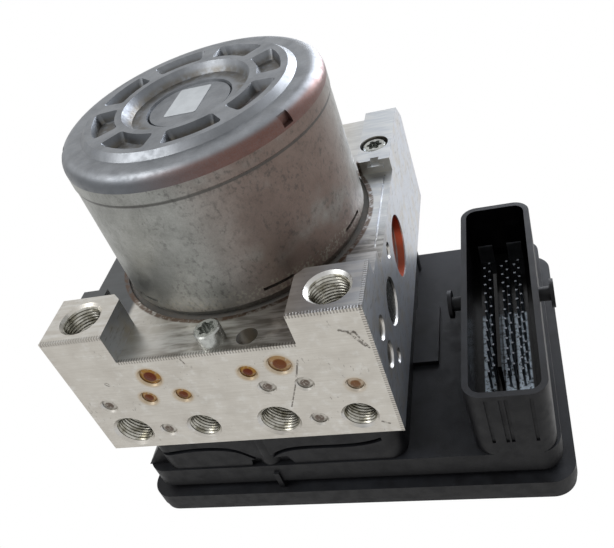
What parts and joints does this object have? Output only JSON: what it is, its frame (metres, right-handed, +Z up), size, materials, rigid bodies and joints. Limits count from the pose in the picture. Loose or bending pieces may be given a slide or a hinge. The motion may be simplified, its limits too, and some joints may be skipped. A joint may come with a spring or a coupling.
{
  "type": "abs brake module",
  "caption": "Anti-lock brake module: drilled aluminium valve block with brake line ports, round pump motor on top and plastic control unit with a tall connector shroud.",
  "frame": {"origin": "middle of the bounding box at the flat underside of the control unit's cover", "axes": "+Z up along the motor shaft, +X to the side of the connector shroud, +Y away from the face with the wheel ports"},
  "size_m": [0.1324, 0.1116, 0.1142],
  "materials": {
    "machined_aluminium": "milled, scratched",
    "plug_steel": "pressed, some rust",
    "pump_cap": "turned",
    "accumulator_cap": "dark coated",
    "hard_steel": "ground",
    "bronze": "sintered",
    "spring_steel": "drawn",
    "accumulator_piston": "turned",
    "can_steel": "zinc plated, mottled",
    "cap_steel": "pressed, zinc plated",
    "label_paper": "bare label",
    "seal_rubber": "moulded",
    "ferrite": "sintered",
    "plate_plastic": "moulded",
    "carbon": "pressed",
    "core_steel": "laminated",
    "copper": "drawn",
    "valve_steel": "turned",
    "coil_winding": "enamelled",
    "black_plastic": "moulded",
    "cover_plastic": "moulded",
    "circuit_board": "lacquered",
    "pin_metal": "tinned",
    "screw_steel": "zinc plated"
  },
  "bodies": {
    "root": {"valve_block": "machined_aluminium", "small_plugs": "plug_steel", "large_plugs": "plug_steel", "side_plugs": "plug_steel", "pump_cap_right": "pump_cap", "pump_cap_left": "pump_cap", "accumulator_cap_right": "accumulator_cap", "accumulator_cap_left": "accumulator_cap", "pump_sleeve_right": "hard_steel", "pump_sleeve_left": "hard_steel", "upper_bearing": "hard_steel", "lower_bearing": "hard_steel", "pilot_bush": "bronze", "pump_spring_right": "spring_steel", "pump_spring_left": "spring_steel", "accumulator_spring_right": "spring_steel", "accumulator_spring_left": "spring_steel", "motor_can": "can_steel", "motor_end_cap": "cap_steel", "cap_label": "label_paper", "motor_seal_ring": "seal_rubber", "housing_gasket": "seal_rubber", "motor_magnets": "ferrite", "brush_plate": "plate_plastic", "motor_brushes": "carbon", "motor_leads": "copper", "inlet_valve_bodies": "valve_steel", "outlet_valve_bodies": "valve_steel", "inlet_valve_coils": "coil_winding", "outlet_valve_coils": "coil_winding", "ecu_housing": "black_plastic", "pin_carrier": "black_plastic", "ecu_cover": "cover_plastic", "circuit_board": "circuit_board", "connector_pins": "pin_metal", "fixing_screws": "screw_steel"},
    "rotor": {"armature_shaft": "hard_steel", "cam_ring": "hard_steel", "armature_core": "core_steel", "armature_windings": "copper", "commutator": "copper"},
    "pump_piston_right": {"pump_piston_right": "hard_steel"},
    "pump_piston_left": {"pump_piston_left": "hard_steel"},
    "accumulator_piston_right": {"accumulator_piston_right": "accumulator_piston"},
    "accumulator_piston_left": {"accumulator_piston_left": "accumulator_piston"},
    "inlet_armature_1": {"inlet_armature_1": "valve_steel"},
    "inlet_armature_2": {"inlet_armature_2": "valve_steel"},
    "inlet_armature_3": {"inlet_armature_3": "valve_steel"},
    "inlet_armature_4": {"inlet_armature_4": "valve_steel"},
    "outlet_armature_1": {"outlet_armature_1": "valve_steel"},
    "outlet_armature_2": {"outlet_armature_2": "valve_steel"},
    "outlet_armature_3": {"outlet_armature_3": "valve_steel"},
    "outlet_armature_4": {"outlet_armature_4": "valve_steel"}
  },
  "joints": [
    {"name": "rotor_spin", "type": "hinge", "parent": "root", "child": "rotor", "pos_m": [-0.02105, -0.001, 0.0519], "axis": [0, 0, 1], "continuous": true},
    {"name": "pump_stroke_right", "type": "slide", "parent": "root", "child": "pump_piston_right", "axis": [-1, 0, 0], "range_m": [0, 0.001], "stiffness_N_per_m": 600, "deforming": ["pump_spring_right"]},
    {"name": "pump_stroke_left", "type": "slide", "parent": "root", "child": "pump_piston_left", "axis": [1, 0, 0], "range_m": [0, 0.001], "stiffness_N_per_m": 600, "deforming": ["pump_spring_left"]},
    {"name": "accumulator_stroke_right", "type": "slide", "parent": "root", "child": "accumulator_piston_right", "axis": [1, 0, 0], "range_m": [0, 0.007], "stiffness_N_per_m": 800, "deforming": ["accumulator_spring_right"]},
    {"name": "accumulator_stroke_left", "type": "slide", "parent": "root", "child": "accumulator_piston_left", "axis": [-1, 0, 0], "range_m": [0, 0.007], "stiffness_N_per_m": 800, "deforming": ["accumulator_spring_left"]},
    {"name": "inlet_valve_1", "type": "slide", "parent": "root", "child": "inlet_armature_1", "axis": [0, 0, 1], "range_m": [0, 0.0003], "stiffness_N_per_m": 600},
    {"name": "inlet_valve_2", "type": "slide", "parent": "root", "child": "inlet_armature_2", "axis": [0, 0, 1], "range_m": [0, 0.0003], "stiffness_N_per_m": 600},
    {"name": "inlet_valve_3", "type": "slide", "parent": "root", "child": "inlet_armature_3", "axis": [0, 0, 1], "range_m": [0, 0.0003], "stiffness_N_per_m": 600},
    {"name": "inlet_valve_4", "type": "slide", "parent": "root", "child": "inlet_armature_4", "axis": [0, 0, 1], "range_m": [0, 0.0003], "stiffness_N_per_m": 600},
    {"name": "outlet_valve_1", "type": "slide", "parent": "root", "child": "outlet_armature_1", "axis": [0, 0, 1], "range_m": [0, 0.0003], "stiffness_N_per_m": 600},
    {"name": "outlet_valve_2", "type": "slide", "parent": "root", "child": "outlet_armature_2", "axis": [0, 0, 1], "range_m": [0, 0.0003], "stiffness_N_per_m": 600},
    {"name": "outlet_valve_3", "type": "slide", "parent": "root", "child": "outlet_armature_3", "axis": [0, 0, 1], "range_m": [0, 0.0003], "stiffness_N_per_m": 600},
    {"name": "outlet_valve_4", "type": "slide", "parent": "root", "child": "outlet_armature_4", "axis": [0, 0, 1], "range_m": [0, 0.0003], "stiffness_N_per_m": 600}
  ]
}
